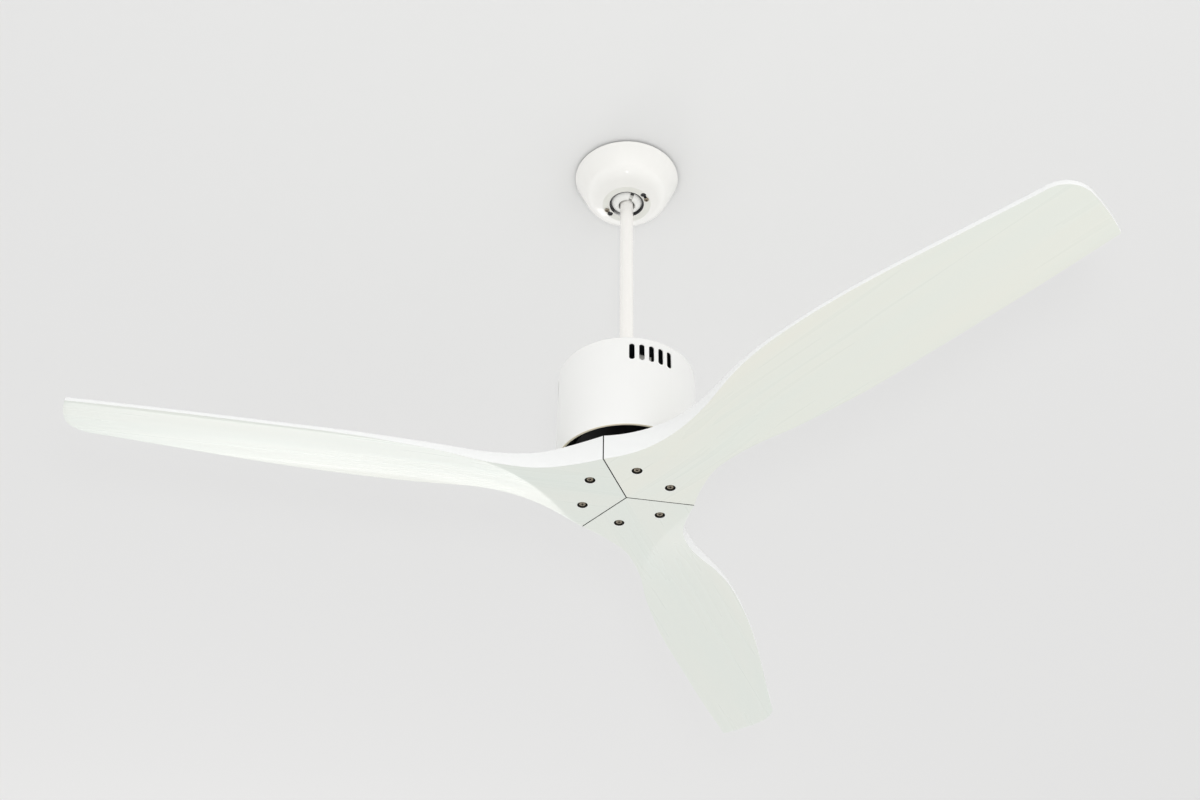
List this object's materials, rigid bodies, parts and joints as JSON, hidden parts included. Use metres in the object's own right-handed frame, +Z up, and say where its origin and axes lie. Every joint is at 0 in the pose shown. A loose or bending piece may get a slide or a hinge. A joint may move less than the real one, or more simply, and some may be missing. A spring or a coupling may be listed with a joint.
{
  "type": "ceiling fan",
  "caption": "Ceiling fan with carved, pitched wooden blades under a cylindrical motor housing, hung on a down rod from a ball joint inside a bowl-shaped ceiling canopy.",
  "frame": {"origin": "on the fan's axis in the ceiling plane, at the centre of the ceiling bracket's two slotted holes", "axes": "+Z points up into the ceiling along the fan's axis, +X runs along the two slotted holes, and the camera side of the picture is -Y"},
  "size_m": [1.2966, 1.3107, 0.6463],
  "materials": {
    "bracket_steel": "black",
    "screw_steel": "plated",
    "brass": "plain",
    "blade_screw": "bronzed",
    "white_paint": "gloss",
    "rod_paint": "gloss",
    "housing_paint": "satin",
    "blade_wood": "white painted, satin",
    "ball_plastic": "moulded",
    "coupler_cast": "cast",
    "motor_aluminium": "cast",
    "shaft_steel": "ground",
    "bearing_steel": "ground",
    "cage_plastic": "moulded",
    "core_steel": "laminated",
    "copper": "enamelled",
    "magnet": "sintered",
    "black_plate": "matt black",
    "circuit_board": "board",
    "capacitor": "sleeved",
    "socket_plastic": "moulded",
    "receiver_plastic": "moulded",
    "lead_sleeve": "sleeved"
  },
  "bodies": {
    "ceiling_mount": {"ceiling_bracket": "bracket_steel", "canopy_screws": "screw_steel", "earth_screw": "brass", "terminal_block": "socket_plastic", "remote_receiver": "receiver_plastic"},
    "canopy": {"canopy": "white_paint"},
    "hanger": {"hanger_ball": "ball_plastic", "ball_cross_pin": "screw_steel", "ball_set_screw": "screw_steel", "downrod": "rod_paint", "supply_leads": "lead_sleeve", "lead_plug": "socket_plastic", "rod_coupler": "coupler_cast", "coupler_pin": "screw_steel", "coupler_clip": "screw_steel", "coupler_set_screws": "screw_steel", "motor_housing": "housing_paint", "housing_screws": "screw_steel", "driver_board": "circuit_board", "board_standoffs": "screw_steel", "board_screws": "screw_steel", "smoothing_capacitors": "capacitor", "filter_coil": "copper", "heat_sink": "motor_aluminium", "board_sockets": "socket_plastic", "motor_leads": "lead_sleeve", "motor_shaft": "shaft_steel", "shaft_cross_pin": "screw_steel", "shaft_clips": "screw_steel", "bearing_spacers": "screw_steel", "bearing_inner_rings": "bearing_steel", "stator_hub": "motor_aluminium", "stator_core": "core_steel", "stator_windings": "copper"},
    "coupling_cover": {"coupling_cover": "white_paint"},
    "rotor": {"bearing_outer_rings": "bearing_steel", "rotor_upper_cover": "motor_aluminium", "rotor_lower_cover": "motor_aluminium", "hub_spacer": "motor_aluminium", "rotor_screws": "screw_steel", "rotor_ring": "core_steel", "rotor_magnets": "magnet", "blade_plate": "black_plate", "hub_screws": "screw_steel", "blade_1": "blade_wood", "blade_2": "blade_wood", "blade_3": "blade_wood", "blade_screws": "blade_screw", "blade_washers": "screw_steel"},
    "bearing_cage": {"bearing_balls": "bearing_steel", "bearing_cages": "cage_plastic"}
  },
  "joints": [
    {"name": "canopy_twist", "type": "hinge", "parent": "ceiling_mount", "child": "canopy", "pos_m": [0, 0, -0.0617], "axis": [0, 0, 1], "range_deg": [0, 18]},
    {"name": "hanger_swing", "type": "hinge", "parent": "ceiling_mount", "child": "hanger", "pos_m": [0, 0, -0.037], "axis": [0.9135, 0.4067, 0], "range_deg": [-20, 20]},
    {"name": "cover_slide", "type": "slide", "parent": "hanger", "child": "coupling_cover", "axis": [0, 0, 1], "range_m": [0, 0.28]},
    {"name": "rotor_spin", "type": "hinge", "parent": "hanger", "child": "rotor", "pos_m": [0, 0, -0.536], "axis": [0, 0, 1], "continuous": true},
    {"name": "cage_spin", "type": "hinge", "parent": "hanger", "child": "bearing_cage", "pos_m": [0, 0, -0.536], "axis": [0, 0, 1], "continuous": true}
  ],
  "couplings": [
    {"joint": "cage_spin", "follows": "rotor_spin", "ratio": 0.61579}
  ]
}
